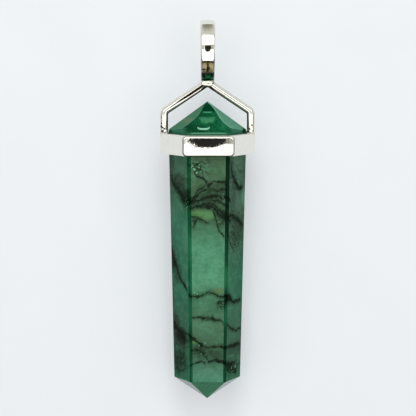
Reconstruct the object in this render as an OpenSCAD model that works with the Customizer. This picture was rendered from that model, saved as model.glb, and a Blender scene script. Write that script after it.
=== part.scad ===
// Crystal point pendant: a six-sided, double-pointed polished stone in a soldered silver mount.
// The mount is a six-sided band with a raised front plate, a house-shaped wire arch and an oval bail.
// The pendant lies on its back: +Y runs from the lower tip to the bail, +Z is up and out of the front.
// The origin is on the surface under the middle of the pendant.

/* [Stone] */
// Length of the stone from tip to tip
stone_l = 39.4; // [32:0.1:55]
// Width across opposite sides at the upper shoulder
flats_top = 9.1; // [7.6:0.05:11]
// Width across opposite sides at the lower shoulder
flats_bottom = 7.76; // [5.5:0.05:9]
// Height of the upper point
point_top = 3.82; // [2.5:0.02:5]
// Height of the lower point
point_bottom = 3; // [2:0.02:6]
// Width of the bevel on each long edge at the upper shoulder
bevel_top = 0.64; // [0.2:0.01:1]
// Width of the bevel on each long edge at the lower shoulder
bevel_bottom = 0.47; // [0.2:0.01:1]

/* [Band] */
// Distance from the stone's upper shoulder down to the band's rim
rim_drop = 0.38; // [0.1:0.01:3]
// Height of the band along the stone
band_h = 2.63; // [1.5:0.05:6]
// Thickness of the band's wall
band_wall = 0.77; // [0.6:0.01:1.5]
// Cement gap between the stone and the band
cement_gap = 0.06; // [0.04:0.01:0.2]

/* [Front plate] */
// How far the plate laps over the band's front edge on each side
plate_lap = 0.14; // [-1:0.01:0.2]
// Height of the band left bare below the plate
bare_below = 0.05; // [0.02:0.01:0.3]
// Height of the band left bare above the plate
bare_above = 0.05; // [0.02:0.01:0.6]
// How far the plate stands out of the band
plate_proud = 0.35; // [0.15:0.01:0.8]
// Radius of the plate's corners
plate_r = 0.45; // [0.1:0.01:0.55]

/* [Arch] */
// Diameter of the arch's wire
wire_d = 1; // [0.6:0.01:1.2]
// Clearance between each leg of the arch and the stone's corner
leg_gap = 0.07; // [0.04:0.01:0.2]
// Height of the legs above the rim, up to the bend
leg_h = 2.85; // [1.5:0.05:4]
// Height of the arch's peak above the stone's upper tip
peak_rise = 2.43; // [1.6:0.01:5]
// Radius of the bend at each corner of the arch, on the wire's centre line
corner_r = 0.8; // [0.65:0.01:1.1]
// Radius of the bend at the peak, on the wire's centre line
peak_r = 0.7; // [0.65:0.01:1.1]
// Depth of the legs' ends in the band
leg_seat = 0.5; // [0.2:0.05:1.2]

/* [Bail] */
// Length of the bail from its widest place to its top
bail_up = 3.69; // [3:0.01:6]
// Length of the bail from its widest place to its lower end
bail_down = 4.44; // [3:0.01:7]
// Depth of the bail from front to back
bail_depth = 4.9; // [4.2:0.05:6]
// Thickness of the bail's ribbon
bail_t = 0.7; // [0.4:0.01:0.8]
// Radius of the ribbon's edges
bail_edge_r = 0.2; // [0.05:0.01:0.3]
// Width of the ribbon at the top
bail_w_top = 1.96; // [1.4:0.01:3]
// Width of the ribbon at the lower end
bail_w_bottom = 1.7; // [1.2:0.01:2.5]
// Roundness of the bail's top, as a share of half its depth
round_top = 0.86; // [0.6:0.01:0.95]
// Roundness of the bail's lower end, as a share of half its depth
round_bottom = 0.48; // [0.42:0.01:0.9]
// Depth of the bail's lower end in the arch's peak
bail_seat = 0.38; // [0.1:0.01:0.4]

/* [Hidden] */

// Fineness of round shapes: sides of the wire, and steps in each bend, arc and corner
wire_sides = 20;
bend_steps = 7;
arc_steps = 10;
corner_steps = 6;
edge_steps = 2;

sides = 6;
turn = 360 / sides;
stone_color = [0.24, 0.47, 0.36];
silver_color = [0.9, 0.89, 0.86];

// Stations along the stone's axis, from its lower tip
lower_shoulder = point_bottom;
upper_shoulder = stone_l - point_top;
rim = upper_shoulder - rim_drop;
band_low = rim - band_h;

// Width across the sides and distance from the axis to a long edge's bevel, at a station
prism_l = upper_shoulder - lower_shoulder;
flats_rise = (flats_top - flats_bottom) / prism_l;
function flats_at(y) = flats_bottom + (y - lower_shoulder) * flats_rise;
function bevel_reach(flats, bevel) = flats / 2 / cos(turn / 2) - bevel / 2 / tan(turn);
reach_top = bevel_reach(flats_top, bevel_top);
reach_bottom = bevel_reach(flats_bottom, bevel_bottom);
reach_rise = (reach_top - reach_bottom) / prism_l;
function reach_at(y) = reach_bottom + (y - lower_shoulder) * reach_rise;

// The band's bore clears the stone's widest section inside it
bore_flats = max(flats_at(rim), flats_at(band_low)) + 2 * cement_gap;
bore_reach = max(reach_at(rim), reach_at(band_low)) + cement_gap;
band_flats = bore_flats + 2 * band_wall;
front_w = band_flats * tan(turn / 2);

// Arch: centre lines of the legs, the slopes and the bends
leg_x = max(reach_top, reach_at(rim)) + leg_gap + wire_d / 2;
eaves = rim + leg_h;
peak = stone_l + peak_rise;
slope = atan((peak - eaves) / leg_x);
corner_turn = 90 - slope;
corner_center = [leg_x - corner_r, eaves - corner_r * tan(corner_turn / 2)];
peak_center = [0, peak - peak_r / cos(slope)];

// Bail: an oval of tangent arcs, round the top, the lower end and the two long sides
bail_low = peak_center[1] + peak_r + wire_d / 2 - bail_seat;
bail_mid = bail_low + bail_down;
half_depth = bail_depth / 2;
end_r_top = round_top * half_depth;
end_r_bottom = round_bottom * half_depth;
function side_r(reach, end_r) =
    ((reach - end_r) ^ 2 + half_depth ^ 2 - end_r ^ 2) / (2 * (half_depth - end_r));
function side_angle(reach, end_r) =
    atan2(side_r(reach, end_r) - half_depth, reach - end_r);
top_center = bail_mid + bail_up - end_r_top;

// Rest on the band's rear lower edge and the stone's rear lower shoulder
lean = atan((band_flats - flats_bottom) / 2 / (band_low - lower_shoulder));
rest_z = band_flats / 2 * cos(lean) - band_low * sin(lean);
middle_y = (top_center * cos(lean) + end_r_top) / 2;

// Size of the blocks that cut the stone's planes, and how far a cut runs past a face
cut_size = 3 * stone_l;
past = 1;

module lie_on_back() {
    translate([0, -middle_y, rest_z])
        rotate([lean, 0, 0])
            children();
}

// One polished plane: takes away all that is outside it
module grind(angle, reach, y, tilt) {
    rotate([0, angle, 0])
        translate([reach, y, 0])
            rotate([0, 0, tilt])
                translate([0, -cut_size / 2, -cut_size / 2])
                    cube(cut_size);
}

module crystal_point() {
    rough = 2 * max(reach_top, reach_bottom) + past;
    top_tilt = atan(flats_top / 2 / point_top);
    bottom_tilt = -atan(flats_bottom / 2 / point_bottom);
    color(stone_color)
        lie_on_back()
            difference() {
                translate([-rough / 2, -past, -rough / 2])
                    cube([rough, stone_l + 2 * past, rough]);
                for (i = [0 : sides - 1]) {
                    side = turn * (i + 0.5);
                    grind(side, flats_top / 2, upper_shoulder, -atan(flats_rise / 2));
                    grind(turn * i, reach_top, upper_shoulder, -atan(reach_rise));
                    grind(side, flats_top / 2, upper_shoulder, top_tilt);
                    grind(side, flats_bottom / 2, lower_shoulder, bottom_tilt);
                }
            }
}

// Six-sided bar along the axis, with its edges or its sides towards +X
module hex_bar(flats, start, length, edge_to_side = true) {
    translate([0, start, 0])
        rotate([-90, 0, 0])
            rotate([0, 0, edge_to_side ? 0 : turn / 2])
                cylinder(d = flats / cos(turn / 2), h = length, $fn = sides);
}

module band() {
    difference() {
        hex_bar(band_flats, band_low, band_h);
        intersection() {
            hex_bar(bore_flats, band_low - past, band_h + 2 * past);
            hex_bar(2 * bore_reach, band_low - past, band_h + 2 * past, false);
        }
    }
}

// Points round a rectangle that stands on y = 0, with its corners rounded as far as its sides allow
function rounded(w, h, r, steps) =
    let (e = min(r, 0.45 * w, 0.45 * h))
        [
            for (c = [[1, 1, 0], [-1, 1, 90], [-1, -1, 180], [1, -1, 270]])
                for (s = [0 : steps])
                    let (a = c[2] + 90 * s / steps)
                        [c[0] * (w / 2 - e) + e * cos(a), h / 2 + c[1] * (h / 2 - e) + e * sin(a)]
        ];

module front_plate() {
    // Its back is let into the band, deep enough to meet the sides beside the front
    sunk = band_wall / 2;
    plate_w = front_w + 2 * plate_lap;
    plate_h = band_h - bare_below - bare_above;
    translate([0, band_low + bare_below, band_flats / 2 - sunk])
        linear_extrude(sunk + plate_proud)
            polygon(rounded(plate_w, plate_h, plate_r, corner_steps));
}

// Stations along an arc, each with its outward direction
function bend(center, r, from, to, steps) = [
    for (s = [0 : steps])
        let (a = from + (to - from) * s / steps)
            [center + r * [cos(a), sin(a)], a]
];

// Solid skin over rings of points, closed on itself or with a flat cap at each end
module skin(rings, looped) {
    n = len(rings);
    m = len(rings[0]);
    walls = [
        for (i = [0 : looped ? n - 1 : n - 2])
            for (j = [0 : m - 1])
                let (k = (i + 1) % n, l = (j + 1) % m)
                    [i * m + j, i * m + l, k * m + l, k * m + j]
    ];
    caps = [[for (j = [m - 1 : -1 : 0]) j], [for (j = [0 : m - 1]) (n - 1) * m + j]];
    polyhedron([for (ring = rings) each ring], looped ? walls : concat(walls, caps));
}

module arch() {
    foot = rim - leg_seat;
    path = concat(
        [[[leg_x, foot], 0]],
        bend(corner_center, corner_r, 0, corner_turn, bend_steps),
        bend(peak_center, peak_r, 90 - slope, 90 + slope, bend_steps),
        bend([-corner_center[0], corner_center[1]], corner_r, 180 - corner_turn, 180, bend_steps),
        [[[-leg_x, foot], 180]]
    );
    skin([
        for (p = path) [
            for (j = [0 : wire_sides - 1])
                let (t = 360 * j / wire_sides, out = wire_d / 2 * cos(t))
                    [p[0][0] + out * cos(p[1]), p[0][1] + out * sin(p[1]), wire_d / 2 * sin(t)]
        ]
    ], false);
}

// The bail's stations lie in the pendant's middle plane, from the top towards the front
module bail() {
    r_up = side_r(bail_up, end_r_top);
    r_down = side_r(bail_down, end_r_bottom);
    a_up = side_angle(bail_up, end_r_top);
    a_down = side_angle(bail_down, end_r_bottom);
    low_center = bail_low + end_r_bottom;
    arcs = [
        [[top_center, 0], end_r_top, -a_up, a_up],
        [[bail_mid, half_depth - r_up], r_up, a_up, 90],
        [[bail_mid, half_depth - r_down], r_down, 90, 180 - a_down],
        [[low_center, 0], end_r_bottom, 180 - a_down, 180 + a_down],
        [[bail_mid, r_down - half_depth], r_down, 180 + a_down, 270],
        [[bail_mid, r_up - half_depth], r_up, 270, 360 - a_up]
    ];
    path = [
        for (arc = arcs)
            let (stations = bend(arc[0], arc[1], arc[2], arc[3], arc_steps))
                for (i = [0 : arc_steps - 1])
                    stations[i]
    ];
    skin([
        for (p = path)
            let (rise = (p[0][0] - bail_low) / (bail_up + bail_down),
                 w = bail_w_bottom + (bail_w_top - bail_w_bottom) * rise)
                [
                    for (q = rounded(w, bail_t, bail_edge_r, edge_steps))
                        [q[0], p[0][0] - q[1] * cos(p[1]), p[0][1] - q[1] * sin(p[1])]
                ]
    ], true);
}

module silver_mount() {
    color(silver_color)
        lie_on_back()
            union() {
                band();
                front_plate();
                arch();
                bail();
            }
}

crystal_point();
silver_mount();
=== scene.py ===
from math import acos, atan, atan2, cos, pi, radians, sin, sqrt, tan

import bmesh
import bpy
from mathutils import Matrix, Vector


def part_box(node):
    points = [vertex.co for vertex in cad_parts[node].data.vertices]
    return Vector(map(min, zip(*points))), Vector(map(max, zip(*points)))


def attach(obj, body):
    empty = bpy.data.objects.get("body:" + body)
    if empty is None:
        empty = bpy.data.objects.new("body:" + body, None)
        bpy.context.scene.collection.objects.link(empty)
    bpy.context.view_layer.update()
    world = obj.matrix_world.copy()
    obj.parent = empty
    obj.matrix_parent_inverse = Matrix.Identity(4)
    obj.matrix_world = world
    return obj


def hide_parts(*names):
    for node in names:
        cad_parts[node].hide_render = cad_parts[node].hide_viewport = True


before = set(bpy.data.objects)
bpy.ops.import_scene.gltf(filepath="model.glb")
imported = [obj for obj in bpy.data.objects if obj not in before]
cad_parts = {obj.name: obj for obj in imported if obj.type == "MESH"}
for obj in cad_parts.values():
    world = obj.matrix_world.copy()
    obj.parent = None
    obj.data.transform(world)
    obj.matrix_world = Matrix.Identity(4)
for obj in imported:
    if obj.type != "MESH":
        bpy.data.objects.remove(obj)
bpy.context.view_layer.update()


# The crystal point: one piece of green quartz with dark mineral veins, ground to six long sides and six
# facets at each end on a flat lap, then polished. A narrow bevel is ground on each long edge. The pendant
# lies on its back, so the stone leans: its rear lower shoulder and the band's rear edge touch the surface.
stone_l = 39.4
flats_top = 9.1
flats_bottom = 7.76
bevel_top = 0.64
bevel_bottom = 0.47
lower_shoulder = 3
upper_end_l = 3.82
rim_drop = 0.38
arris_r = 0.05

upper_shoulder = stone_l - upper_end_l
rim = upper_shoulder - rim_drop
flats_rise = (flats_top - flats_bottom) / (upper_shoulder - lower_shoulder)
reach_top = flats_top / 2 / cos(pi / 6) - bevel_top / 2 / tan(pi / 3)
reach_bottom = flats_bottom / 2 / cos(pi / 6) - bevel_bottom / 2 / tan(pi / 3)
reach_rise = (reach_top - reach_bottom) / (upper_shoulder - lower_shoulder)

tip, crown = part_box("crystal_point")
lean = acos((crown.y - tip.y) * 1000 / stone_l)
rest_z = flats_bottom / 2 * cos(lean) - lower_shoulder * sin(lean)
lie_on_back = (
    Matrix.Scale(0.001, 4)
    @ Matrix.Translation((0, tip.y * 1000, rest_z))
    @ Matrix.Rotation(lean, 4, "X")
)


def lay_down(form, name, node, finish):
    """Lays a finished form, in millimetres on the stone's axis, down in the frame as a piece."""
    bmesh.ops.recalc_face_normals(form, faces=form.faces[:])
    form.transform(lie_on_back)
    for face in form.faces:
        face.smooth = True
    mesh = bpy.data.meshes.new(name)
    form.to_mesh(mesh)
    form.free()
    piece = bpy.data.objects.new(name, mesh)
    bpy.context.scene.collection.objects.link(piece)
    mesh.materials.append(finish)
    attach(piece, "root")
    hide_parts(node)
    return piece


class Tone:
    """A value, colour or direction on its way through the nodes of one finish."""

    def __init__(self, tree, socket):
        self.tree = tree
        self.socket = socket

    def node(self, kind, sockets, out=0, stops=None, course=None, **settings):
        """Adds one node: its settings first, then the values or links of its sockets."""
        made = self.tree.nodes.new("ShaderNode" + kind)
        for setting, value in settings.items():
            setattr(made, setting, value)
        if stops:
            ramp = made.color_ramp
            while len(ramp.elements) < len(stops):
                ramp.elements.new(0.5)
            for element, (position, tone) in zip(ramp.elements, stops):
                element.position = position
                element.color = (*tone, 1)
        if course:
            made.mapping.extend = "HORIZONTAL"
            curve = made.mapping.curves[0]
            while len(curve.points) < len(course):
                curve.points.new(0.5, 0.5)
            for point, location in zip(curve.points, course):
                point.location = location
                point.handle_type = "AUTO_CLAMPED"
            made.mapping.update()
        for key, value in sockets.items():
            if isinstance(value, Tone):
                self.tree.links.new(value.socket, made.inputs[key])
            else:
                made.inputs[key].default_value = value
        return Tone(self.tree, made.outputs[out])

    def work(self, operation, *values):
        """Adds one step of arithmetic, on numbers or on directions."""
        if self.socket.type == "VECTOR":
            return self.node("VectorMath", dict(enumerate(values)), operation=operation)
        return self.node("Math", dict(enumerate(values)), operation=operation)

    def __add__(self, other):
        return self.work("ADD", self, other)

    def __radd__(self, other):
        return self.work("ADD", other, self)

    def __sub__(self, other):
        return self.work("SUBTRACT", self, other)

    def __rsub__(self, other):
        return self.work("SUBTRACT", other, self)

    def __mul__(self, other):
        return self.work("MULTIPLY", self, other)

    def __rmul__(self, other):
        return self.work("MULTIPLY", other, self)

    def __truediv__(self, other):
        return self.work("DIVIDE", self, other)

    def __rtruediv__(self, other):
        return self.work("DIVIDE", other, self)

    def __abs__(self):
        return self.work("ABSOLUTE", self)


def colour(r, g, b):
    """A colour as picked on screen, from 0 to 255, in the renderer's linear values."""
    return tuple(
        (v / 255 / 12.92 if v <= 10 else ((v / 255 + 0.055) / 1.055) ** 2.4) for v in (r, g, b)
    )


def most(a, b):
    return a.work("MAXIMUM", a, b)


def least(a, b):
    return a.work("MINIMUM", a, b)


def root(value):
    return value.work("SQRT", value)


def rise(value, low, high, top=1.0):
    """Runs smoothly from 0 to its top as the value goes from low to high."""
    span = {"Value": value, "From Min": low, "From Max": high, "To Max": top}
    return value.node("MapRange", span, interpolation_type="SMOOTHSTEP")


def blend(share, under, over):
    """One colour laid over another, by its share."""
    under, over = ((*c, 1) if isinstance(c, tuple) else c for c in (under, over))
    return share.node("Mix", {0: share, 6: under, 7: over}, out=2, data_type="RGBA", blend_type="MIX")


def tint(share, under, over):
    """A colour darkened by a second one, by its share."""
    return share.node(
        "Mix", {0: share, 6: under, 7: (*over, 1)}, out=2, data_type="RGBA", blend_type="MULTIPLY"
    )


def axes(place):
    """The three coordinates of a place."""
    across = place.node("SeparateXYZ", {"Vector": place})
    return across, *(Tone(place.tree, across.socket.node.outputs[k]) for k in (1, 2))


def start_finish(name):
    """A new finish: returns it, its shader, and the place on the piece in the frame's metres."""
    finish = bpy.data.materials.new(name)
    finish.use_nodes = True
    place = Tone(finish.node_tree, None).node("TexCoord", {}, out=3)
    return finish, finish.node_tree.nodes["Principled BSDF"], place


def along_stone(place):
    """A place in millimetres on the stone's axis, as the pieces are formed."""
    laid = {"Location": (0, tip.y, rest_z / 1000), "Rotation": (lean, 0, 0), "Scale": (0.001,) * 3}
    return place.node("Mapping", {"Vector": place, **laid}, vector_type="TEXTURE")


def feed(shader, **sockets):
    """Sets or links a shader's sockets, with _ for the spaces in their names."""
    for key, value in sockets.items():
        socket = shader.inputs[key.replace("_", " ")]
        if isinstance(value, Tone):
            value.tree.links.new(value.socket, socket)
        else:
            socket.default_value = value


def cloud(place, scale, detail=3, roughness=0.55, distortion=0):
    """Soft mottling about 0.5, with patches about one unit divided by the scale across."""
    grain = {"Scale": scale, "Detail": detail, "Roughness": roughness, "Distortion": distortion}
    return place.node("TexNoise", {"Vector": place, **grain})


def grind(stone, turn, reach, y, tilt):
    """One polished plane: cuts away what is outside it and closes the cut."""
    where = Vector((reach * cos(turn), y, -reach * sin(turn)))
    outward = Vector((cos(tilt) * cos(turn), sin(tilt), -cos(tilt) * sin(turn)))
    everything = stone.verts[:] + stone.edges[:] + stone.faces[:]
    bmesh.ops.bisect_plane(
        stone, geom=everything, dist=1e-5, plane_co=where, plane_no=outward, clear_outer=True
    )
    rim_edges = [edge for edge in stone.edges if edge.is_boundary]
    bmesh.ops.holes_fill(stone, edges=rim_edges, sides=0)


stone = bmesh.new()
bmesh.ops.create_cube(stone, size=3 * stone_l)
for i in range(6):
    side = radians(60 * i + 30)
    grind(stone, side, flats_top / 2, upper_shoulder, -atan(flats_rise / 2))
    grind(stone, radians(60 * i), reach_top, upper_shoulder, -atan(reach_rise))
    grind(stone, side, flats_top / 2, upper_shoulder, atan(flats_top / 2 / upper_end_l))
    grind(stone, side, flats_bottom / 2, lower_shoulder, -atan(flats_bottom / 2 / lower_shoulder))
bmesh.ops.remove_doubles(stone, verts=stone.verts[:], dist=1e-4)

# Which faces are bevels, and which are the end facets, so that each takes its own polish
bevelled = stone.faces.layers.float.new("bevelled")
end_facet = stone.faces.layers.float.new("end_facet")
steepest_side = 0.3
for facet in stone.faces:
    outward = facet.normal
    at_corner = abs(abs(atan2(outward.x, outward.z)) % (pi / 3) - pi / 6) < 0.05
    at_end = abs(outward.y) > steepest_side
    facet[bevelled] = 1 if at_corner and not at_end else 0
    facet[end_facet] = 1 if at_end else 0


def vein(x, y, ruffle, swell, line):
    """A thin dark sheet, from its course across the front: places x, y and its half breadth there."""
    reach = 5.2
    length = 40
    stations = [((px + reach) / 2 / reach, py / length) for px, py, half in line]
    breadths = [((px + reach) / 2 / reach, half) for px, py, half in line]
    across = (x + reach) / (2 * reach)
    course = x.node("FloatCurve", {"Value": across}, course=stations) * length
    breadth = x.node("FloatCurve", {"Value": across}, course=breadths)
    first = line[0][0]
    last = line[-1][0]
    inside = rise(x, first - 0.05, first + 0.15) * rise(x, last + 0.05, last - 0.15)
    off = abs(y + ruffle - course)
    core = rise(off, breadth * swell * 1.3 + 0.06, breadth * swell * 0.5) * inside
    halo = rise(off, breadth * 3.2 + 0.32, 0) * inside
    return core, halo


def blotches(x, y, drift, spots):
    """Soft-edged clouds: the middle of each, its half width and half height, and its strength."""
    together = None
    for (at_x, at_y), (half_w, half_h), share in spots:
        ax = (x - at_x) / half_w
        ay = (y - at_y) / half_h
        one = rise(root(ax * ax + ay * ay) + drift, 1.25, 0.45, share)
        together = one if together is None else most(together, one)
    return together


# The dark sheets' courses, from the band down: x, y and the half breadth, in millimetres
vein_lines = [
    [(-1.9, 30.7, 0.05), (-1.6, 30.1, 0.12), (-0.96, 29.84, 0.07), (-0.48, 29.5, 0.1), (0, 28.75, 0.22),
     (0.75, 29.3, 0.06), (1.57, 29.26, 0.1), (2.4, 29.2, 0.12)],
    [(-4.9, 30, 0.12), (-4.4, 28.7, 0.25), (-3.7, 27.9, 0.3), (-2.9, 26.6, 0.5), (-2.3, 26.8, 0.2),
     (-1.6, 27.3, 0.16), (-0.96, 27.95, 0.09), (-0.1, 28.4, 0.14)],
    [(-2.9, 26.2, 0.3), (-2.2, 26.6, 0.22), (-1.3, 26.87, 0.18), (-0.5, 27.12, 0.16), (0.2, 27.32, 0.14),
     (1, 27.41, 0.12), (1.66, 27.3, 0.13), (2.3, 27.2, 0.18), (2.9, 26.6, 0.2)],
    [(-2.4, 25.8, 0.1), (-1.8, 25.97, 0.13), (-1.28, 26.12, 0.14), (-0.47, 26.2, 0.18), (0.18, 26.12, 0.18),
     (0.76, 25.8, 0.24), (1.2, 25.35, 0.32), (1.55, 25, 0.2), (2.2, 24.6, 0.18), (2.7, 24.8, 0.24),
     (3.56, 24.35, 0.24), (4.3, 23.6, 0.24), (4.7, 23.1, 0.2)],
    [(0.5, 25.6, 0.05), (1, 24.5, 0.18), (1.2, 23.4, 0.2), (1.6, 22.74, 0.08), (2.1, 22, 0.12)],
    [(-2.2, 24.8, 0.03), (-1.6, 24.73, 0.09), (-1.1, 24.48, 0.09), (-0.47, 24.08, 0.06), (0.2, 23.9, 0.03)],
    [(-1.95, 22.6, 0.1), (-1.85, 23.6, 0.2), (-1.5, 24.2, 0.12), (-1.3, 24.5, 0.05)],
    [(-4.85, 20.6, 0.2), (-4.6, 19.6, 0.28), (-4.3, 18.5, 0.32), (-3.97, 17.7, 0.28), (-3.64, 16.6, 0.24),
     (-3.39, 16.1, 0.2), (-3, 15.67, 0.2), (-2.6, 14.8, 0.2)],
    [(-2.6, 14.4, 0.2), (-1.93, 14.3, 0.12), (-1.27, 14.4, 0.13), (-0.53, 14.58, 0.1), (0.05, 14.9, 0.12),
     (0.62, 14.77, 0.1), (1.03, 14.5, 0.07), (1.69, 14.3, 0.12), (2.1, 14.4, 0.14), (2.7, 14.25, 0.4),
     (2.95, 13.8, 0.22), (3.33, 13.35, 0.18), (3.8, 13.3, 0.16), (4.4, 13.6, 0.2)],
    [(1.1, 12.4, 0.05), (1.3, 13.4, 0.12), (1.6, 13.7, 0.05), (2.1, 13.75, 0.1), (2.5, 14.1, 0.1)],
    [(-2.2, 11.6, 0.02), (-1.2, 11.6, 0.06), (-0.6, 11.5, 0.12), (0.2, 11.45, 0.08), (0.72, 11.38, 0.16),
     (0.9, 11.2, 0.1), (1.5, 11.2, 0.08), (2.04, 10.87, 0.1), (2.55, 10.46, 0.12), (3, 9.9, 0.1),
     (3.54, 9.55, 0.09), (4, 9.48, 0.09), (4.5, 9.65, 0.08)],
    [(-2.7, 9.5, 0.15), (-2.2, 8.98, 0.13), (-1.78, 8.71, 0.12), (-1.3, 8.3, 0.13), (-0.99, 7.98, 0.22),
     (-0.51, 7.82, 0.12), (0.13, 7.64, 0.07), (0.92, 7.73, 0.06), (1.56, 7.77, 0.08), (2.12, 7.64, 0.12),
     (3.2, 7.48, 0.16), (3.8, 7.52, 0.16), (4.4, 7.5, 0.08)],
    [(-2.3, 7.2, 0.06), (-1.3, 7.33, 0.13), (-0.99, 7.09, 0.2), (-0.5, 6.76, 0.16), (0, 6, 0.08)],
    [(-0.1, 5.72, 0.05), (0.5, 5.79, 0.1), (1.08, 5.94, 0.12), (1.41, 5.78, 0.14), (2.04, 5.7, 0.14),
     (2.4, 5.45, 0.2), (2.97, 5, 0.3), (3.41, 4.36, 0.35), (3.9, 3.9, 0.2)],
    [(2.8, 32.6, 0.05), (2.98, 30.8, 0.35), (3.25, 29.65, 0.32), (3.7, 28.9, 0.28), (4.06, 28.2, 0.25),
     (4.6, 28.2, 0.2)],
    [(2.35, 23.4, 0.1), (2.6, 22.4, 0.16), (2.85, 21.2, 0.08), (3.2, 20.4, 0.04), (3.5, 19.8, 0.02)],
    [(-4.8, 10.9, 0.3), (-4.2, 9.9, 0.35), (-3.6, 9.3, 0.3), (-2.9, 8.1, 0.3)],
    [(-0.2, 27.9, 0.04), (0.5, 28.3, 0.07), (1.2, 28.1, 0.05), (1.8, 28.4, 0.08), (2.4, 28, 0.08)],
    [(-2.1, 26.7, 0.08), (-1.96, 26.9, 0.11), (-1.36, 28.1, 0.08), (-0.6, 28.6, 0.06), (-0.05, 29.5, 0.08)],
    [(-1, 26.3, 0.04), (0.3, 26.5, 0.07), (1.1, 25.95, 0.12), (1.65, 25.2, 0.14), (2.05, 24.5, 0.12),
     (2.5, 23.8, 0.08)],
    [(0.3, 26.9, 0.03), (1.4, 26.7, 0.06), (2.2, 26.2, 0.08), (2.7, 25.8, 0.08)],
    [(1.3, 25.8, 0.1), (1.8, 25.3, 0.18), (2.3, 24.8, 0.2), (3, 24, 0.1)],
    [(-1.7, 31.6, 0.06), (-1.2, 31.2, 0.12), (-0.8, 30.7, 0.14), (-0.6, 29.8, 0.08)],
    [(-2.4, 5.2, 0.03), (-1.8, 5.5, 0.06), (-0.8, 5.75, 0.05), (-0.2, 5.5, 0.03)],
]

# The sheets slant through the stone, so at the rear they come out nearer to the band
green_quartz, quartz_shader, place = start_finish("green_quartz")
place = along_stone(place)
x, y_true, z = axes(place)
behind = least(z, 0)
y = y_true + behind * 0.9 + x * behind * 0.12

fine = cloud(place, 2.2, 4, 0.62)
coarse = cloud(place, 0.55, 3, 0.5, 0.4)
wisps = cloud(place.node("Mapping", {"Vector": place, "Scale": (0.9, 1.5, 0.9)}), 0.9, 3, 0.5, 0.4)
ruffle = (cloud(place, 1.5, 4, 0.65) - 0.5) * 0.8 + (cloud(place, 6, 3, 0.6) - 0.5) * 0.16
swell = rise(cloud(place, 1.8, 4, 0.7), 0.35, 0.65) * 1.7 + 0.4
drift = (fine - 0.5) * 1.1 + (coarse - 0.5) * 0.5

# Body colour along the stone: the clearer front, and the deeper left and right sides
toned_length = 36
along = y / toned_length
front_tone = y.node("ValToRGB", {"Fac": along}, stops=[
    (0.06, colour(69, 129, 102)), (0.12, colour(78, 124, 103)), (0.19, colour(55, 84, 62)),
    (0.29, colour(76, 114, 88)), (0.38, colour(68, 112, 84)), (0.46, colour(84, 144, 113)),
    (0.57, colour(80, 140, 110)), (0.67, colour(64, 97, 72)), (0.77, colour(64, 90, 66)),
    (0.88, colour(86, 116, 88)),
])
left_tone = y.node("ValToRGB", {"Fac": along}, stops=[
    (0.06, colour(50, 106, 81)), (0.17, colour(52, 96, 76)), (0.27, colour(52, 94, 75)),
    (0.42, colour(55, 110, 90)), (0.55, colour(55, 108, 86)), (0.67, colour(58, 113, 92)),
    (0.78, colour(71, 105, 84)), (0.92, colour(69, 108, 91)),
])
right_tone = y.node("ValToRGB", {"Fac": along}, stops=[
    (0.06, colour(58, 112, 86)), (0.19, colour(64, 98, 80)), (0.34, colour(66, 109, 89)),
    (0.46, colour(55, 113, 87)), (0.62, colour(77, 110, 89)), (0.75, colour(76, 105, 88)),
    (0.92, colour(88, 119, 100)),
])
past_front = abs(x) - abs(z) * tan(pi / 6)
to_side = rise(past_front, -0.06, 0.06)
to_right = rise(x, -0.1, 0.1)
body = blend(to_side, front_tone, blend(to_right, left_tone, right_tone))
body = blend(rise(wisps, 0.45, 0.75) * 0.25, body, colour(84, 158, 126))
body = blend(rise(coarse, 0.55, 0.3) * 0.3, body, colour(34, 78, 54))
body = blend(rise(fine, 0.58, 0.36) * 0.22, body, colour(34, 84, 56))
body = blend(rise(abs(x), 3.8, 4.95) * 0.35, body, colour(22, 56, 40))

# Clouds: a yellow-green patch, an olive haze, and the brown and black inclusions
body = blend(blotches(x, y, drift * 0.8, [
    ((-1.2, 25.2), (1.1, 0.5), 0.6), ((-0.1, 25), (1, 0.7), 0.55), ((-1.6, 8.4), (0.5, 0.3), 0.8),
]), body, colour(88, 138, 80))
body = blend(blotches(x, y, drift, [((1.4, 15.1), (0.9, 0.5), 0.6)]), body, colour(88, 102, 66))
body = blend(blotches(x, y, drift * 0.5, [
    ((4.75, 26.9), (0.45, 1.2), 0.7), ((-4.6, 24.5), (0.5, 1.6), 0.3), ((-2.9, 22), (0.5, 2.2), 0.35),
]), body, colour(84, 136, 110))
haze = blotches(x, y, drift, [
    ((-3.8, 29.1), (1.3, 1.2), 0.75), ((-3, 27.4), (0.9, 1.4), 0.85), ((-4.7, 31.8), (0.4, 2.6), 0.5),
    ((-4.6, 18.9), (0.55, 1.8), 0.8), ((-3.9, 17), (0.5, 1.5), 0.6), ((-4.8, 13.2), (0.4, 2.6), 0.6),
    ((-4.2, 10.4), (0.8, 1.5), 0.85), ((-3.5, 8.6), (1.2, 1.5), 1), ((-3.7, 5.4), (1, 1.7), 0.6),
    ((3.2, 27.2), (0.5, 2.8), 0.5), ((3.7, 22.6), (1.1, 2.2), 0.5), ((3, 30.6), (0.4, 1.6), 0.6),
    ((3.6, 7), (1.2, 0.9), 0.5), ((3.2, 4.7), (0.9, 0.9), 0.95), ((2.8, 14), (0.5, 0.45), 0.9),
    ((0.6, 27), (1.9, 0.7), 0.5), ((1.6, 28.4), (1, 1), 0.4), ((-1.7, 26.4), (0.8, 0.35), 0.5),
    ((2, 24.8), (0.5, 1), 0.5), ((1.2, 6.6), (1.3, 0.7), 0.5), ((-0.9, 7.8), (0.6, 0.4), 0.5),
])
body = blend(haze * 0.92, body, colour(38, 51, 40))

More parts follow.
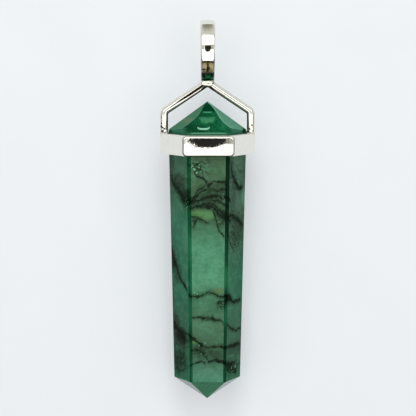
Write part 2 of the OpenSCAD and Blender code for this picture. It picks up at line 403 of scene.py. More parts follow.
# Moss: a fine dark web where the sheets break up
warped = place + cloud(place, 1.4, 3) * 1.4
web = place.node("TexVoronoi", {"Vector": warped, "Scale": 1.9}, feature="DISTANCE_TO_EDGE")
mossy = blotches(x, y, drift, [
    ((-1.6, 31.2), (1, 1), 1), ((0.3, 27.9), (2, 1.1), 0.55), ((-2.8, 26.8), (0.9, 1), 1),
    ((-1.9, 23.8), (0.5, 1), 0.9), ((2.4, 28), (0.6, 2), 0.8), ((3.2, 4.8), (1, 1), 1),
    ((-1, 7.3), (1.1, 0.9), 0.9), ((-3.6, 5.6), (1.2, 2.2), 0.8), ((2.2, 13.5), (0.9, 0.6), 1),
    ((0.2, 11.4), (1.2, 0.4), 0.8), ((1.6, 24.4), (0.7, 1.2), 0.8), ((3.9, 23), (0.9, 2), 0.5),
])
moss = rise(web, 0.19, 0.04) * rise(cloud(place, 1.7, 2), 0.34, 0.5) * mossy
stretched = warped.node("Mapping", {"Vector": warped, "Scale": (0.7, 1.5, 0.7)})
threads = rise(abs(cloud(stretched, 1.25, 3, 0.6) - 0.5), 0.055, 0.02) * blotches(x, y, drift, [
    ((0.5, 27.2), (2.3, 1.9), 0.6), ((3.6, 22.5), (1.2, 3.2), 0.8), ((-3.7, 5.4), (1.2, 2.4), 0.9),
    ((3.2, 5), (1.1, 1.4), 0.9), ((-0.9, 31), (1.4, 1.3), 0.8), ((1.9, 13.3), (1.1, 0.9), 0.9),
    ((-0.6, 7), (1.5, 1), 0.8), ((-3.8, 28.6), (1.1, 2), 0.8), ((1.5, 24.4), (0.9, 1.4), 0.9),
    ((3.7, 29.5), (1.1, 2), 0.7), ((0.3, 11.3), (1.6, 0.6), 0.7), ((-4.2, 18), (0.7, 2.2), 0.6),
    ((3.9, 18.4), (0.9, 2), 0.4),
])
inky = blotches(x, y, drift * 1.3, [
    ((-3.4, 9.1), (0.7, 1.2), 1), ((-2.9, 27.6), (0.5, 0.9), 0.7), ((3, 4.9), (0.6, 0.7), 0.8),
    ((2.6, 14), (0.35, 0.45), 0.9), ((2, 25.3), (0.4, 0.5), 0.7), ((3.9, 28.2), (0.5, 0.3), 0.7),
    ((-4.5, 18.2), (0.3, 0.8), 0.7), ((-1, 8), (0.3, 0.25), 0.7),
])

core = halo = None
for line in vein_lines:
    dark, soft = vein(x, y, ruffle, swell, line)
    core = dark if core is None else most(core, dark)
    halo = soft if halo is None else most(halo, soft)
core = core * (rise(cloud(place, 3.2, 2), 0.36, 0.52) * 0.3 + 0.7)
body = blend(halo * rise(fine, 0.25, 0.6) * 0.7, body, colour(38, 52, 37))
body = blend(inky * 0.8, body, colour(20, 27, 21))
body = blend(most(core, most(moss, threads) * 0.85) * 0.95, body, colour(12, 24, 15))

# Painted highlights: small bright glints of the cleavage planes beside the sheets
flecks = place.node("TexVoronoi", {"Vector": place, "Scale": 3.6}, feature="F1")
glinting = blotches(x, y, drift, [
    ((-1.6, 31.1), (0.9, 0.9), 1), ((-2.8, 26.2), (0.25, 0.9), 1), ((-1.3, 14.75), (1.2, 0.25), 1),
    ((-1, 8.1), (0.7, 0.3), 0.9), ((3.4, 4.6), (0.5, 0.6), 0.7), ((-0.6, 6.9), (0.5, 0.4), 0.8),
    ((2.1, 27.4), (0.3, 0.9), 0.6),
])
painted_glint = rise(flecks, 0.46, 0.26) * rise(cloud(place, 2.6, 1), 0.42, 0.52) * glinting
body = blend(painted_glint * 0.85, body, colour(120, 202, 150))

# Painted shade: the bevels are painted darker and deeper, the right one darkest towards the band
is_bevel = place.node("Attribute", {}, out=2, attribute_name="bevelled")
is_end = place.node("Attribute", {}, out=2, attribute_name="end_facet")
body = tint(is_bevel, body, (0.12, 0.46, 0.33))
body = tint(is_bevel * to_right, body, (0.9, 0.68, 0.7))
body = blend(is_bevel * to_right * rise(y_true, 18, 24) * 0.65, body, colour(9, 24, 16))
bevel_light = blotches(x, y, drift, [
    ((-2.5, 20.4), (0.6, 2.2), 0.6), ((-2.5, 12.4), (0.6, 2.2), 0.5), ((2.5, 16.8), (0.6, 1.8), 0.8),
    ((2.5, 11.6), (0.6, 1.6), 0.6),
])
body = blend(is_bevel * bevel_light * 0.55, body, colour(44, 118, 84))

# The upper end is painted with what it reflects and refracts of its own far facets: deep emerald in the
# middle, paler towards the side edges
upper_end = rise(y_true, upper_shoulder - 0.04, upper_shoulder + 0.02)
shoulder_strip = rise(y_true, rim - 0.05, rim + 0.05)
# Painted highlight: the front of the strip is lighter towards the shoulder's edge
shoulder_highlight = rise(y_true, upper_shoulder - 0.22, upper_shoulder - 0.1) * rise(abs(x), 2.5, 1.9)
front_strip = blend(shoulder_highlight, colour(48, 98, 74), colour(84, 140, 109))
body = blend(shoulder_strip, body, blend(to_side, front_strip, colour(38, 94, 72)))
end_start, end_span, end_half_w = 35.5, 4, 5
up_the_end = (y_true - end_start) / end_span
left_edge = up_the_end.node("FloatCurve", {"Value": up_the_end}, course=[
    (0.07, 0.716), (0.3, 0.46), (0.567, 0.224), (0.825, 0.1), (0.975, 0),
]) * end_half_w
right_edge = up_the_end.node("FloatCurve", {"Value": up_the_end}, course=[
    (0.09, 0.652), (0.337, 0.394), (0.75, 0.16), (0.95, 0),
]) * end_half_w
# Painted reflection: outside these edges the end facets are pale grey-green, mirroring the white surface,
# with a painted highlight along the right edge
outside_of = abs(x) - left_edge * (1 - to_right) - right_edge * to_right
above_band = y_true + abs(x) * 0.24
pale_reflection = rise(outside_of + (fine - 0.5) * 0.15, -0.03, 0.05) * rise(above_band, 36.72, 36.8)
edge_highlight = rise(abs(outside_of - 0.02), 0.12, 0.03) * to_right * rise(above_band, 36.72, 36.8)
emerald = blend(rise(x, -2.2, 1.6), colour(3, 52, 29), colour(6, 78, 47))
lighter_patch = blotches(x, y_true, drift, [((2.1, 36.5), (0.9, 0.7), 0.5)])
emerald = blend(lighter_patch, emerald, colour(34, 108, 72))
emerald = blend(rise(cloud(place, 6, 2), 0.48, 0.66) * 0.3, emerald, colour(40, 112, 78))
emerald = blend(rise(fine, 0.56, 0.4) * 0.6, emerald, colour(0, 50, 26))
emerald = blend(rise(coarse, 0.45, 0.7) * 0.25, emerald, colour(22, 104, 68))
low_band = rise(above_band, 36.9, 36.75) * rise(abs(x), 2.4, 3.4)
emerald = blend(low_band * 0.8, emerald, colour(50, 100, 79))
pale_reflection_tone = blend(to_right, colour(62, 114, 88), colour(86, 140, 119))
olive_patch = blotches(x, y_true, drift, [((-2.5, 37), (0.8, 0.4), 0.6)])
pale_reflection_tone = blend(olive_patch, pale_reflection_tone, colour(98, 116, 92))
pale_reflection_tone = blend(rise(fine, 0.6, 0.4) * 0.3, pale_reflection_tone, colour(62, 112, 90))
pale_reflection_tone = blend(rise(cloud(place, 5, 3, 0.6), 0.5, 0.62) * 0.35, pale_reflection_tone, colour(58, 96, 76))
emerald = blend(pale_reflection, emerald, pale_reflection_tone)
emerald = blend(edge_highlight * 0.6, emerald, colour(126, 174, 152))
# Painted reflections on the front facet: a dark triangle at the apex, a thin light line across it, and a
# lit patch lower down
in_front = (1 - to_side) * rise(z, 0, 0.2)
apex_dark_reflection = rise(y_true, 38.1, 38.2) * rise(y_true, 39.05, 38.8) * rise(outside_of, 0, -0.15)
emerald = blend(apex_dark_reflection * 0.9, emerald, colour(0, 46, 25))
bow = (x + 0.05) * (x + 0.05) * 0.12
thin_highlight = rise(abs(y_true - bow - 38.03), 0.09, 0.03) * rise(abs(x + 0.05), 0.7, 0.4) * in_front
emerald = blend(thin_highlight * 0.7, emerald, colour(84, 158, 120))
widening = abs(x + 0.1) - (y_true - 36.7) * 0.55
lit_patch = rise(y_true + (fine - 0.5) * 0.5, 36.55, 36.9) * rise(y_true, 37.6, 37.25)
lit_patch = lit_patch * rise(widening + (fine - 0.5) * 0.8, 0.9, 0.5) * in_front
emerald = blend(lit_patch * (fine + 0.15), emerald, colour(62, 130, 92))

# A painted highlight over the shoulder, the bright smile: a thin boat shape with upturned ends
across_smile = (x + 0.61) / 0.78
upturn = across_smile * across_smile * across_smile * across_smile
smile_low = rise(y_true - upturn * 0.2, 35.88, 35.94)
smile_high = rise(y_true - upturn * 0.16, 36.15, 36.09)
smile_highlight = smile_low * smile_high * rise(upturn, 1.2, 0.9)
emerald = blend(smile_highlight * in_front, emerald, colour(126, 182, 155))
body = blend(upper_end, body, emerald)
# Painted shade: dark spots at the two side corners, just above the band
body = blend(blotches(x, y_true, drift * 0.4, [
    ((4.75, 35.6), (0.3, 0.4), 0.9), ((-4.8, 35.5), (0.22, 0.3), 0.7),
]), body, colour(6, 20, 13))
end_side = is_end * to_side

relief = core * -0.5 + fine * 0.12 + coarse * 0.8
skin_bump = place.node("Bump", {"Strength": 0.5, "Distance": 0.00001, "Height": relief})
feed(
    quartz_shader,
    Base_Color=body,
    Roughness=core * 0.2 + 0.32,
    Coat_Weight=end_side * (1 - upper_end) * 0.87 + 0.05,
    Coat_Roughness=0.04,
    Coat_IOR=1.55,
    Specular_IOR_Level=0.0,
    Normal=skin_bump,
)
bmesh.ops.bevel(
    stone, geom=stone.edges[:], offset=arris_r, offset_type="OFFSET", segments=2, profile=0.5,
    affect="EDGES", clamp_overlap=True,
)
crystal = lay_down(stone, "green_crystal", "crystal_point", green_quartz)
crystal.modifiers.new("even_shading", "WEIGHTED_NORMAL").keep_sharp = True


# The band: a strip of sterling silver, bent round the stone's upper end as a six-sided collar and soldered
# shut, then filed and polished. The stone is cemented in it, and the cement isn't seen.
band_h = 2.63
band_low = rim - band_h
band_wall = 0.77
cement_gap = 0.06
band_corner_r = 0.28
band_edge_r = 0.13
worn_in = 0.07
worn_down = 0.22

bore_flats = flats_bottom + (rim - lower_shoulder) * flats_rise + 2 * cement_gap
bore_reach = reach_bottom + (rim - lower_shoulder) * reach_rise + cement_gap
band_flats = bore_flats + 2 * band_wall


def loft(rings, looped=False, open_end=False):
    """A skin over rings of points, joined end to end or closed with a flat face at each end."""
    form = bmesh.new()
    rows = [[form.verts.new(point) for point in ring] for ring in rings]
    count = len(rows[0])
    pairs = list(zip(rows, rows[1:]))
    if looped:
        pairs.append((rows[-1], rows[0]))
    for here, there in pairs:
        for j in range(count):
            k = (j + 1) % count
            form.faces.new((here[j], here[k], there[k], there[j]))
    if not looped:
        form.faces.new(rows[0])
    if not looped and not open_end:
        form.faces.new(rows[-1])
    return form


def silver_finish(
    name, base, rough, pits=0, spots=(), stain_and_shade=None, stain_and_shade_tone=(66, 60, 42), matt=0, dents=0, filed=None
):
    """Polished silver: faint waves left by the buff, wiping marks, pits at solder, and dark marks that are
    partly stains and partly painted shade and dark reflections.
    """
    finish, shader, place = start_finish(name)
    place = along_stone(place)
    waves = cloud(place, 0.7, 2, 0.4)
    marks = cloud(place, 7, 3, 0.6)
    tarnish = rise(cloud(place, 1.4, 3), 0.5, 0.8)
    pitted = rise(cloud(place, 5, 2), 0.56, 0.66) * pits
    for at, r in spots:
        offset = place - at
        far = offset.node("VectorMath", {0: offset}, out=1, operation="LENGTH")
        pitted = most(pitted, rise(far + (marks - 0.5) * 0.3, r, r * 0.6))
    shade = blend(tarnish * 0.25, colour(*base), colour(*(v * 0.9 for v in base)))
    metal = 1
    roughness = marks * 0.05 + rough + pitted * 0.25
    # Dark marks on the colour: stains, and painted shade and dark reflections; the matt share dulls the
    # metal there
    if stain_and_shade:
        stain_and_shade_share = stain_and_shade(place, marks)
        shade = blend(stain_and_shade_share, shade, colour(*stain_and_shade_tone))
        if matt:
            metal = 1 - stain_and_shade_share * matt
            roughness = roughness + stain_and_shade_share * matt * 0.4
    if filed:
        roughness = roughness + filed(place) * 0.6
    shade = blend(pitted, shade, colour(52, 50, 38))
    relief = waves + marks * 0.03 - pitted * 0.6
    if dents:
        relief = relief + cloud(place, 2.6, 3, 0.6) * dents
    feed(
        shader,
        Metallic=metal,
        Specular_IOR_Level=0.0,
        Base_Color=shade,
        Roughness=roughness,
        Normal=place.node("Bump", {"Strength": 1.0, "Distance": 0.000012, "Height": relief}),
    )
    return finish


# The plate's outline comes here already, for the dark line round it on the band, which is old polish in the
# seam and painted shade where the plate meets the band
plate_lap = 0.14
bare_edge = 0.05
plate_w = band_flats * tan(pi / 6) + 2 * plate_lap
plate_h = band_h - 2 * bare_edge
plate_r = 0.45
plate_mid = band_low + band_h / 2


def plate_seam_and_shade(place, marks):
    """The dark line round the foot of the front plate, old polish in the seam and painted shade, faintest
    along its top.
    """
    x, y, z = axes(place)
    ax = most(abs(x) - (plate_w / 2 - plate_r), 0)
    ay = most(abs(y - plate_mid) - (plate_h / 2 - plate_r), 0)
    off = root(ax * ax + ay * ay) - plate_r
    at_top = rise(y, plate_mid + plate_h / 2 - 0.3, plate_mid + plate_h / 2)
    return rise(abs(off - 0.01), 0.11, 0.03) * rise(z, 3, 4) * (0.9 - at_top * 0.85)


def filed_rim(place):
    """The band's upper rim is left satin from the file."""
    return rise(axes(place)[1], rim - 0.05, rim - 0.01)


# Band and plate both carry the dark line round the plate's foot, partly painted shade
silver = silver_finish("polished_silver", (236, 234, 227), 0.03, stain_and_shade=plate_seam_and_shade, filed=filed_rim)
plate_silver = silver_finish("plate_silver", (236, 234, 227), 0.03, stain_and_shade=plate_seam_and_shade, dents=0.5)

# Round the corners of the outside, and let the bore follow the stone's bevels
outside = []
bore = []
corner_steps = 6
corner_center = (band_flats / 2 - band_corner_r) / cos(pi / 6)
bevel_half = (bore_flats / 2 - bore_reach * cos(pi / 6)) / sin(pi / 6)
for i in range(6):
    corner = radians(60 * i)
    for s in range(corner_steps + 1):
        share = s / corner_steps
        a = corner + radians(60 * share - 30)
        outside.append((
            corner_center * cos(corner) + band_corner_r * cos(a),
            corner_center * sin(corner) + band_corner_r * sin(a),
        ))
        along_bevel = (2 * share - 1) * bevel_half
        bore.append((
            bore_reach * cos(corner) - along_bevel * sin(corner),
            bore_reach * sin(corner) + along_bevel * cos(corner),
        ))

# The wall's section: its share of the way in from the outside, and its height
rounding = [(1 - cos(radians(a)), 1 - sin(radians(a))) for a in (0, 15, 30, 45, 60, 75, 90)]
edge_share = band_edge_r / band_wall
section = []
for inward, down in rounding:
    section.append((inward * worn_in / band_wall, rim - down * worn_down))
for inward, down in reversed(rounding):
    section.append((1 - inward * edge_share, rim - down * band_edge_r))
for inward, down in rounding:
    section.append((1 - inward * edge_share, band_low + down * band_edge_r))
for inward, down in reversed(rounding):
    section.append((inward * edge_share, band_low + down * band_edge_r))
rings = [
    [
        (ox + (ix - ox) * share, height, oz + (iz - oz) * share)
        for (ox, oz), (ix, iz) in zip(outside, bore)
    ]
    for share, height in section
]
band = lay_down(loft(rings, looped=True), "band", "silver_mount", silver)
band.modifiers.new("even_shading", "WEIGHTED_NORMAL").keep_sharp = True


# The front plate: a small rectangle of thick silver sheet with rounded corners, soldered on the band's
# front and buffed, which leaves its face slightly cushioned and its edges soft.
plate_proud = 0.35
plate_edge_r = 0.15
corner_tighter = 0.4
top_edge_wider = 0.3
top_edge_flatter = 0.6
crown_r_across = 36
crown_r_along = 9.4
crown_lift = 0.06
plate_columns = 36
plate_rows = 16

plate_base = band_flats / 2 - band_wall / 2
face_z = band_flats / 2 + plate_proud + crown_lift


def plate_point(column, row, inset, drop):
    """A point of the plate, by column and row of its face, in from its outline and below its crown."""
    half_w = plate_w / 2 - inset
    r = plate_r - inset * corner_tighter
    px = half_w * sin(pi / 2 * (2 * column / plate_columns - 1))
    past = max(abs(px) - (half_w - r), 0)
    above = 1 - 2 * row / plate_rows
    near_top = min(max(above * 2.5 - 1.5, 0), 1)
    half_h = plate_h / 2 - inset * (1 + top_edge_wider * near_top)
    py = (half_h - r + sqrt(max(r * r - past * past, 0))) * above
    crowned = face_z - px * px / 2 / crown_r_across - py * py / 2 / crown_r_along
    return px, plate_mid + py, crowned - drop * (1 - top_edge_flatter * near_top)


outline = (
    [(c, 0) for c in range(plate_columns)] + [(plate_columns, r) for r in range(plate_rows)]
    + [(plate_columns - c, plate_rows) for c in range(plate_columns)]
    + [(0, plate_rows - r) for r in range(plate_rows)]
)
rings = [[(*plate_point(c, r, 0, 0)[:2], plate_base) for c, r in outline]]
for a in (0, 20, 40, 60, 80, 90):
    inset = plate_edge_r * (1 - cos(radians(a)))
    rings.append([plate_point(c, r, inset, plate_edge_r * (1 - sin(radians(a)))) for c, r in outline])
sheet = loft(rings, open_end=True)
sheet.verts.ensure_lookup_table()
first_corner = len(sheet.verts) - len(outline)
grid = {spot: sheet.verts[first_corner + j] for j, spot in enumerate(outline)}
for r in range(1, plate_rows):
    for c in range(1, plate_columns):
        grid[c, r] = sheet.verts.new(plate_point(c, r, plate_edge_r, 0))
for r in range(plate_rows):
    for c in range(plate_columns):
        sheet.faces.new((grid[c, r], grid[c + 1, r], grid[c + 1, r + 1], grid[c, r + 1]))
lay_down(sheet, "front_plate", "silver_mount", plate_silver)


# The arch: one length of round silver wire, bent to a house shape and buffed. Its two legs stand on the
# band's rim at the side corners, each in a small bead of solder.
wire_r = 0.5
leg_h = 2.85
leg_clearance = 0.07
peak_rise = 2.43
corner_r = 0.8
peak_r = 0.7
sunk_in_band = 0.4
bend_steps = 12

leg_x = reach_top + leg_clearance + wire_r
eaves = rim + leg_h
peak = stone_l + peak_rise
slope = atan((peak - eaves) / leg_x)
corner_turn = pi / 2 - slope
corner_y = eaves - corner_r * tan(corner_turn / 2)
peak_center = Vector((0, peak - peak_r / cos(slope), 0))


def bend(center, r, first, last):
    """Stations along an arc of the wire's centre line, each with its outward direction."""
    stations = []
    for s in range(bend_steps + 1):
        a = first + (last - first) * s / bend_steps
        stations.append((center + r * Vector((cos(a), sin(a), 0)), a))
    return stations


def straight(lower, upper, a, steps):
    """Stations between two bends."""
    return [(lower.lerp(upper, s / steps), a) for s in range(1, steps)]


def share_of(value, low, high):
    """How far a number has gone from low to high, from 0 to 1."""
    return min(max((value - low) / (high - low), 0), 1)


right_corner = bend(Vector((leg_x - corner_r, corner_y, 0)), corner_r, 0, corner_turn)
top_bend = bend(peak_center, peak_r, pi / 2 - slope, pi / 2 + slope)
left_corner = bend(Vector((corner_r - leg_x, corner_y, 0)), corner_r, pi - corner_turn, pi)
right_foot = Vector((leg_x, rim - sunk_in_band, 0))
left_foot = Vector((-leg_x, rim - sunk_in_band, 0))
wire_path = (
    [(right_foot, 0)] + straight(right_foot, right_corner[0][0], 0, 6) + right_corner
    + straight(right_corner[-1][0], top_bend[0][0], corner_turn, 8) + top_bend
    + straight(top_bend[-1][0], left_corner[0][0], pi - corner_turn, 8) + left_corner
    + straight(left_corner[-1][0], left_foot, pi, 6) + [(left_foot, pi)]
)
wire_sides = 40
flat_from = 0.88
rings = []
for station, a in wire_path:
    outward = Vector((cos(a), sin(a), 0))
    # The buff has flattened the front of the left slope a little, most near the peak
    on_slope = share_of(-station.x, leg_x - 0.3, leg_x - 1.8)
    near_peak = share_of(-station.x, leg_x, 0.8)
    flattened = on_slope * (0.45 + 0.65 * near_peak) if station.x < 0 else 0
    ring = []
    for j in range(wire_sides):
        round_wire = 2 * pi * j / wire_sides
        height = sin(round_wire)
        height -= max(height - flat_from, 0) * flattened
        ring.append(station + wire_r * (cos(round_wire) * outward + height * Vector((0, 0, 1))))
    rings.append(ring)
wire = loft(rings)
turned_in = wire.verts.layers.float.new("turned_in")
for j, vert in enumerate(wire.verts):
    vert[turned_in] = -cos(2 * pi * (j % wire_sides) / wire_sides)


def wire_dark_reflection(place, marks):
    """Painted dark reflection: the wire is darkened and dulled most on its inner side and under the peak,
    and a little on its outer side.
    """
    inward = place.node("Attribute", {}, out=2, attribute_name="turned_in")
    under_peak = rise(abs(axes(place)[0]), 1.1, 0.4, 0.4)
    return most(rise(inward + under_peak, 0.52, 0.74), rise(inward, -0.8, -0.96) * 0.4)


# Dark spots left by the torch and the polish at the feet of the legs: the middle of each, and its radius
wire_spots = [
    ((-5.98, 36.1, 0.3), 0.22), ((-5.95, 36.55, 0.3), 0.17), ((-5.98, 37.3, 0.25), 0.12),
    ((5.9, 36.3, 0.3), 0.14), ((-5.4, 38.2, 0.35), 0.1), ((5.42, 35.83, 0.45), 0.16),
    ((5.72, 36.3, 0.45), 0.13), ((-5.66, 35.78, 0.5), 0.2), ((-5.85, 36, 0.45), 0.13),
]
wire_silver = silver_finish(
    "wire_silver", (238, 236, 228), 0.03, spots=wire_spots,
    stain_and_shade=wire_dark_reflection, stain_and_shade_tone=(48, 42, 28), matt=0.9,
)
lay_down(wire, "arch_wire", "silver_mount", wire_silver)

# The beads of solder at its feet, dark and pitted where the torch was
solder_spots = [
    ((-5.82, 35.5, 0.35), 0.3), ((-5.5, 35.4, 0.45), 0.16), ((5.3, 35.5, 0.45), 0.2),
    ((5.85, 35.55, 0.35), 0.17), ((-0.62, 41.42, 0.45), 0.2), ((-0.4, 41.27, 0.4), 0.2),
    ((-0.1, 41.24, 0.45), 0.19), ((0.2, 41.24, 0.45), 0.19), ((0.45, 41.27, 0.4), 0.17),
]
solder = silver_finish("silver_solder", (236, 232, 220), 0.08, pits=0.25, spots=solder_spots)

# Each bead from below up: its height over the rim, and how far it flares past the wire
bead_shape = [
    (-0.12, 0.1), (0.02, 0.2), (0.06, 0.17), (0.14, 0.1), (0.26, 0.045), (0.42, 0.012), (0.5, -0.02),
]
bead_sides = 24
for side, name in ((1, "right_leg_solder"), (-1, "left_leg_solder")):
    rings = []
    for height, flare in bead_shape:
        ring = []
        for j in range(bead_sides):
            a = 2 * pi * j / bead_sides
            lump = 1 + 0.25 * sin(3 * a + side) + 0.2 * sin(5 * a + 2 * side)
            spread = wire_r + flare * lump * (1 - 0.75 * max(side * cos(a), 0))
            uneven = 1 + 0.2 * sin(2 * a + side)
            ring.append((side * leg_x + spread * cos(a), rim + height * uneven, spread * sin(a)))
        rings.append(ring)
    lay_down(loft(rings), name, "silver_mount", solder)


# The bail: a tapering ribbon of silver with a rounded face, bent to an oval loop that a chain passes
# through. Its lower end is soldered on the arch's peak with a short pad of solder.
bail_up = 3.69
bail_down = 4.44
half_depth = 2.45
bail_t = 0.7
bail_w_top = 1.96
bail_w_bottom = 1.7
bail_crown_r = 5.7
end_r_top = 0.86 * half_depth
end_r_bottom = 0.48 * half_depth
sunk_in_peak = 0.38
bail_low = peak_center.y + peak_r + wire_r - sunk_in_peak
bail_mid = bail_low + bail_down


def side_arc(half_length, end_r):
    """The radius of a long side's arc, and the angle at which it meets the arc round the end."""
    to_end = half_length - end_r
    r = (to_end**2 + half_depth**2 - end_r**2) / (2 * (half_depth - end_r))
    return r, atan2(r - half_depth, to_end)


r_up, a_up = side_arc(bail_up, end_r_top)
r_down, a_down = side_arc(bail_down, end_r_bottom)
top_center = bail_mid + bail_up - end_r_top
low_center = bail_low + end_r_bottom
arcs = [
    (top_center, 0, end_r_top, -a_up, a_up),
    (bail_mid, half_depth - r_up, r_up, a_up, pi / 2),
    (bail_mid, half_depth - r_down, r_down, pi / 2, pi - a_down),
    (low_center, 0, end_r_bottom, pi - a_down, pi + a_down),
    (bail_mid, r_down - half_depth, r_down, pi + a_down, 3 * pi / 2),
    (bail_mid, r_up - half_depth, r_up, 3 * pi / 2, 2 * pi - a_up),
]


def ribbon_section(w):
    """Low rounded face, nearly flat inside, soft edges: across the ribbon, and in from its outside."""
    edge_r = 0.24
    hollow = 0.05
    half = w / 2 - edge_r
    shoulder = half * half / 2 / bail_crown_r
    soft_edge = [
        (edge_r * sin(radians(a)), shoulder + edge_r * (1 - cos(radians(a))))
        for a in (25, 50, 75, 100, 130, 155)
    ]
    points = []
    for s in range(13):
        across = half - 2 * half * s / 12
        points.append((across, across * across / 2 / bail_crown_r))
    points += [(-half - beyond, inward) for beyond, inward in soft_edge]
    for s in range(7):
        across = -half + 2 * half * s / 6
        points.append((across, bail_t - hollow * (1 - (across / half) ** 2)))
    points += [(half + beyond, inward) for beyond, inward in reversed(soft_edge)]
    return points


arc_steps = 16
rings = []
for along_axis, height, r, first, last in arcs:
    for s in range(arc_steps):
        a = first + (last - first) * s / arc_steps
        at_y = along_axis + r * cos(a)
        at_z = height + r * sin(a)
        w = bail_w_bottom + (bail_w_top - bail_w_bottom) * (at_y - bail_low) / (bail_up + bail_down)
        rings.append([
            (across, at_y - inward * cos(a), at_z - inward * sin(a))
            for across, inward in ribbon_section(w)
        ])


def bail_dark_reflection(place, marks):
    """Painted dark reflections near the solder, darkest across the lower front of the loop, with a dark bow
    and darker edges.
    """
    x, y, z = axes(place)
    low = blotches(x, y, (marks - 0.5) * 0.5, [
        ((0, 43.02), (1.6, 0.22), 0.95), ((-0.7, 42.75), (0.6, 0.35), 0.92),
        ((0.75, 42.75), (0.5, 0.4), 0.92), ((-0.6, 43.56), (0.35, 0.12), 0.9),
        ((0.1, 43.7), (0.22, 0.3), 0.8), ((0, 42.25), (1.8, 0.16), 0.85), ((-0.1, 42.75), (0.6, 0.2), 0.6),
    ])
    bow = rise(abs(y + x * x * 0.35 - 44.62), 0.14, 0.03) * 0.75
    along_edges = rise(abs(x), 0.7, 0.8) * rise(y, 46, 44.5) * 0.7
    return most(most(low, bow), along_edges) * rise(z, 0, 0.6)


bail_silver = silver_finish("bail_silver", (238, 236, 228), 0.03, stain_and_shade=bail_dark_reflection, stain_and_shade_tone=(20, 26, 18))
lay_down(loft(rings, looped=True), "bail_loop", "silver_mount", bail_silver)

# The pad of solder: a flat drop, fuller than a ball and a little lumpy
pad_w, pad_h, pad_depth = 0.96, 0.48, 0.66
pad_y = bail_low - 0.12
pad_fullness = 0.35
pad_sides = 28
rings = []
for a in range(-80, 81, 20):
    fullness = cos(radians(a)) ** pad_fullness
    ring = []
    for j in range(pad_sides):
        b = 2 * pi * j / pad_sides
        lump = 1 + 0.05 * sin(3 * b) + 0.04 * sin(5 * b + 1)
        ring.append((
            pad_w * fullness * lump * cos(b),
            pad_y + pad_h * sin(radians(a)) + 0.04 * sin(4 * b),
            pad_depth * fullness * lump * sin(b),
        ))
    rings.append(ring)
lay_down(loft(rings), "bail_solder", "silver_mount", solder)


# The surface: a large flat sheet of matt white acrylic that the pendant lies on, and no part of it. It is
# lit softly from below as well, so that the shadows on it stay pale.
board_w = 8


def set_out(form, name, finish):
    """Sets out a thing of the studio, in metres."""
    mesh = bpy.data.meshes.new(name)
    form.to_mesh(mesh)
    form.free()
    mesh.materials.append(finish)
    thing = bpy.data.objects.new(name, mesh)
    bpy.context.scene.collection.objects.link(thing)
    return thing


matt_board, board_shader, place = start_finish("matt_board")
board_grain = cloud(along_stone(place), 0.12, 3, 0.5)
feed(
    board_shader,
    Base_Color=blend(board_grain, colour(172, 176, 179), colour(178, 181, 184)),
    Roughness=0.9,
    Specular_IOR_Level=0.1,
    Emission_Color=(*colour(239, 244, 251), 1),
    Emission_Strength=0.402,
)
board = bmesh.new()
bmesh.ops.create_grid(board, x_segments=8, y_segments=8, size=board_w / 2)
set_out(board, "white_board", matt_board)


# The light: a wide diffusing panel of white cloth hung level over the pendant, with an opening cut in it
# for the camera. The polished silver mirrors its dim part as grey. A lamp and a dim room are round it.
panel_z = 0.25
outer = [
    (-0.36, -0.15), (0, -0.15), (0.36, -0.15), (0.36, 0),
    (0.36, 0.165), (0, 0.165), (-0.36, 0.165), (-0.36, 0),
]
opening = [
    (-0.017, -0.026), (0.004, -0.03), (0.021, -0.026), (0.043, 0.004),
    (0.043, 0.04), (0.004, 0.044), (-0.034, 0.04), (-0.034, 0.008),
]

panel_glow, glow_shader, place = start_finish("panel_glow")
panel_x, panel_y = axes(place)[:2]
beside = rise(abs(panel_x), 0.034, 0.044) * rise(abs(panel_x), 0.24, 0.2)
dim_part = beside * rise(panel_y, -0.012, 0.002) * rise(panel_y, 0.056, 0.04)
feed(
    glow_shader,
    Base_Color=(0, 0, 0, 1),
    Specular_IOR_Level=0.0,
    Emission_Color=blend(dim_part, (1, 0.99, 0.97), (0.28, 0.275, 0.25)),
    Emission_Strength=1.75,
)
panel = bmesh.new()
rows = [[panel.verts.new((px, py, panel_z)) for px, py in ring] for ring in (outer, opening)]
for j in range(len(outer)):
    k = (j + 1) % len(outer)
    panel.faces.new((rows[0][k], rows[0][j], rows[1][j], rows[1][k]))
light_panel = set_out(panel, "light_panel", panel_glow)
light_panel.visible_camera = False
light_panel.visible_shadow = False

# A low soft lamp beyond the bail gives the shadow below the tip, and the silver doesn't mirror it
lamp_light = bpy.data.lights.new("low_lamp", "AREA")
lamp_light.size = 0.22
lamp_light.energy = 1.2
low_lamp = bpy.data.objects.new("low_lamp", lamp_light)
bpy.context.scene.collection.objects.link(low_lamp)
low_lamp.location = (-0.02, 0.42, 0.3)
low_lamp.rotation_euler = (-Vector(low_lamp.location)).to_track_quat("-Z", "Y").to_euler()
low_lamp.visible_glossy = False

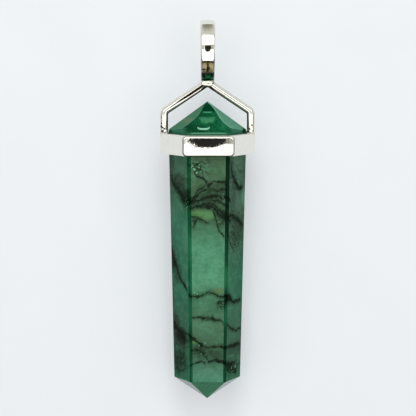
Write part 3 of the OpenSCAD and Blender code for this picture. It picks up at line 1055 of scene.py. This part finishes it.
# The room, as the silver mirrors it: brown and dim behind the tip, with a narrow dark stand, and paler
# beyond the bail. Where the camera looks past the board, the room is a plain pale grey.
room = bpy.data.worlds.new("room")
bpy.context.scene.world = room
room.use_nodes = True
backdrop = room.node_tree.nodes["Background"]
sky = Tone(room.node_tree, None)
sideways, up_the_picture, overhead = axes(sky.node("TexCoord", {}))
walls = up_the_picture.node("ValToRGB", {"Fac": up_the_picture * 0.5 + 0.5}, stops=[
    (0.06, (0.16, 0.14, 0.08)), (0.12, (0.5, 0.43, 0.24)), (0.17, (0.3, 0.24, 0.11)),
    (0.19, (0.07, 0.05, 0.03)), (0.24, (0.34, 0.29, 0.16)), (0.44, (0.15, 0.13, 0.09)),
    (0.56, (0.17, 0.165, 0.13)), (0.76, (0.74, 0.74, 0.68)), (0.97, (0.27, 0.27, 0.21)),
])
away = rise(abs(sideways), 0.4, 0.55) * rise(up_the_picture, -0.3, -0.45)
walls = blend(away, walls, (0.3, 0.295, 0.27))
stand = rise(abs(sideways - 0.015), 0.05, 0.03) * rise(up_the_picture, -0.5, -0.6)
walls = blend(stand, walls, (0.03, 0.02, 0.01))
past_bail = rise(up_the_picture, 0.4, 0.6) * rise(abs(sideways), 0.08, 0.3)
walls = blend(past_bail * 0.7, walls, (0.72, 0.72, 0.66))
walls = blend(rise(overhead, 0.93, 0.97), walls, (0.02, 0.02, 0.02))
seen_directly = sky.node("LightPath", {})
feed(backdrop, Color=blend(seen_directly, walls, (0.86, 0.89, 0.91)), Strength=1)


# The camera looks down on the pendant, a little from the bail's end and from its left. It stands 21 cm from
# a point of the stone's axis, and its long lens takes in the whole pendant with a margin.
aim = lie_on_back @ Vector((0.08, 25.41, 0))
camera_distance = 0.2097
to_the_left = radians(1.5)
to_the_bail = radians(3.4)
film_w = 36
photo_pixels = 416
lens_pixels = 1600

from_aim = Vector((-sin(to_the_left), sin(to_the_bail), 0))
from_aim.z = sqrt(1 - from_aim.length_squared)
right = Vector((0, 1, 0)).cross(from_aim).normalized()
upright = from_aim.cross(right)
camera = bpy.data.objects.new("camera", bpy.data.cameras.new("camera"))
bpy.context.scene.collection.objects.link(camera)
camera.data.lens = film_w * lens_pixels / photo_pixels
camera.data.clip_start = 0.01
turned = Matrix((right, upright, from_aim)).transposed().to_4x4()
camera.matrix_world = Matrix.Translation(aim + camera_distance * from_aim) @ turned
bpy.context.scene.camera = camera
bpy.context.scene.view_settings.view_transform = "Standard"
